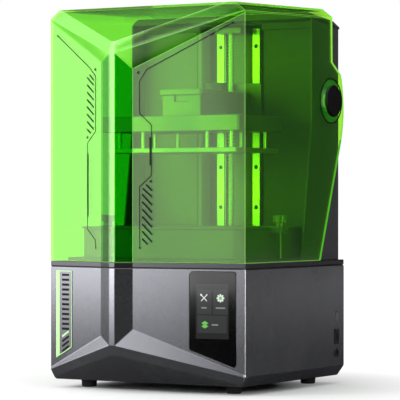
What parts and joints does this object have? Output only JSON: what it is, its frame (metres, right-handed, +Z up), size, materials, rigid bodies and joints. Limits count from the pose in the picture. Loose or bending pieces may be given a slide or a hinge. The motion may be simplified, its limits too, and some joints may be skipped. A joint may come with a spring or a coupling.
{
  "type": "resin printer",
  "caption": "Desktop resin 3D printer: faceted grey base with touch panel, green see-through flip lid, rear tower with Z rails, build platform and tilting resin vat.",
  "frame": {"origin": "floor under the middle of the printer", "axes": "+X to the printer's right, +Y to the rear, +Z up"},
  "size_m": [0.336, 0.324, 0.548],
  "materials": {
    "grey_shell": "satin metallic paint",
    "black_rubber": "matte",
    "panel_glass": "gloss black back-painted glass",
    "display_black": "matte",
    "badge_film": "printed film",
    "port_black": "matte",
    "plated_steel": "plated",
    "tower_grey": "fine texture",
    "lid_green": "clear tinted acrylic",
    "pivot_black": "satin",
    "raw_aluminium": "milled",
    "dark_anodised": "anodised",
    "rail_steel": "ground",
    "vat_alloy": "bead blasted anodised",
    "clear_film": "clear film",
    "clear_lens": "clear moulded",
    "screen_dark": "gloss",
    "board_green": "solder mask",
    "led_white": "white solder mask on aluminium core",
    "motor_black": "satin",
    "sheet_black": "satin powder coat",
    "reflector_white": "satin",
    "fan_black": "satin",
    "knob_black": "satin"
  },
  "bodies": {
    "base": {"base_housing": "grey_shell", "deck_gasket": "black_rubber", "top_deck": "grey_shell", "bottom_plate": "sheet_black", "bottom_screws": "plated_steel", "rubber_feet": "black_rubber", "touch_panel": "panel_glass", "display_module": "display_black", "side_badge": "badge_film", "usb_socket": "plated_steel", "switch_frame": "port_black", "power_inlet": "port_black", "heat_sink": "raw_aluminium", "led_board": "led_white", "light_reflector": "reflector_white", "collimating_lens": "clear_lens", "mainboard": "board_green", "fan_frame": "fan_black", "z_motor": "motor_black", "z_motor_mount": "motor_black", "tower_shell": "tower_grey", "tower_panel_right": "tower_grey", "tower_panel_left": "tower_grey", "tower_cap": "tower_grey", "camera_module": "fan_black", "z_column": "dark_anodised", "rail_right": "rail_steel", "rail_left": "rail_steel", "rail_screws": "plated_steel", "upper_bearing": "dark_anodised", "lower_bearing": "dark_anodised", "bed_hinges": "plated_steel", "tilt_motor": "motor_black", "tilt_motor_stand": "motor_black", "hinge_pin_right": "plated_steel", "hinge_pin_left": "plated_steel"},
    "lid": {"lid_shell": "lid_green", "pivot_rings": "black_rubber", "pivot_cap_right": "pivot_black", "pivot_cap_left": "pivot_black"},
    "platform": {"slider_blocks": "rail_steel", "carriage_plate": "dark_anodised", "ball_nut": "rail_steel", "platform_arm": "dark_anodised", "mount_block": "dark_anodised", "leveling_head": "dark_anodised", "leveling_posts": "raw_aluminium", "build_plate": "raw_aluminium"},
    "screw": {"ball_screw": "rail_steel", "shaft_coupler": "raw_aluminium"},
    "bed": {"tilt_bed": "dark_anodised", "mask_screen": "screen_dark", "resin_vat": "vat_alloy", "release_film": "clear_film"},
    "pusher": {"tilt_pusher": "rail_steel"},
    "platform_knob": {"clamp_knob": "knob_black"},
    "vat_screw_r": {"vat_screw_right": "knob_black"},
    "vat_screw_l": {"vat_screw_left": "knob_black"},
    "rocker": {"power_rocker": "port_black"},
    "fan": {"fan_rotor": "fan_black"}
  },
  "joints": [
    {"name": "lid_flip", "type": "hinge", "parent": "base", "child": "lid", "pos_m": [0, 0.122, 0.413], "axis": [-1, 0, 0], "range_deg": [0, 95]},
    {"name": "platform_slide", "type": "slide", "parent": "base", "child": "platform", "axis": [0, 0, 1], "range_m": [-0.149, 0.072]},
    {"name": "screw_spin", "type": "hinge", "parent": "base", "child": "screw", "pos_m": [0, 0.11, 0.3], "axis": [0, 0, 1], "range_deg": [-10738, 5194]},
    {"name": "bed_tilt", "type": "hinge", "parent": "base", "child": "bed", "pos_m": [0, 0.0975, 0.1855], "axis": [1, 0, 0], "range_deg": [0, 3]},
    {"name": "pusher_slide", "type": "slide", "parent": "base", "child": "pusher", "axis": [0, 0, -1], "range_m": [0, 0.0102]},
    {"name": "platform_knob_turn", "type": "hinge", "parent": "platform", "child": "platform_knob", "pos_m": [0, 0.066, 0.43], "axis": [0, 0, 1], "continuous": true},
    {"name": "vat_screw_r_turn", "type": "hinge", "parent": "bed", "child": "vat_screw_r", "pos_m": [0.146, 0, 0.23], "axis": [0, 0, 1], "continuous": true},
    {"name": "vat_screw_l_turn", "type": "hinge", "parent": "bed", "child": "vat_screw_l", "pos_m": [-0.146, 0, 0.23], "axis": [0, 0, 1], "continuous": true},
    {"name": "rocker_tip", "type": "hinge", "parent": "base", "child": "rocker", "pos_m": [0.16, 0.1393, 0.0695], "axis": [0, -1, 0], "range_deg": [0, 12]},
    {"name": "fan_spin", "type": "hinge", "parent": "base", "child": "fan", "pos_m": [0.082, 0.145, 0.1], "axis": [0, 1, 0], "continuous": true}
  ],
  "couplings": [
    {"joint": "screw_spin", "follows": "platform_slide", "rad_per_m": 1256.6},
    {"joint": "pusher_slide", "follows": "bed_tilt", "m_per_rad": 0.1895}
  ]
}
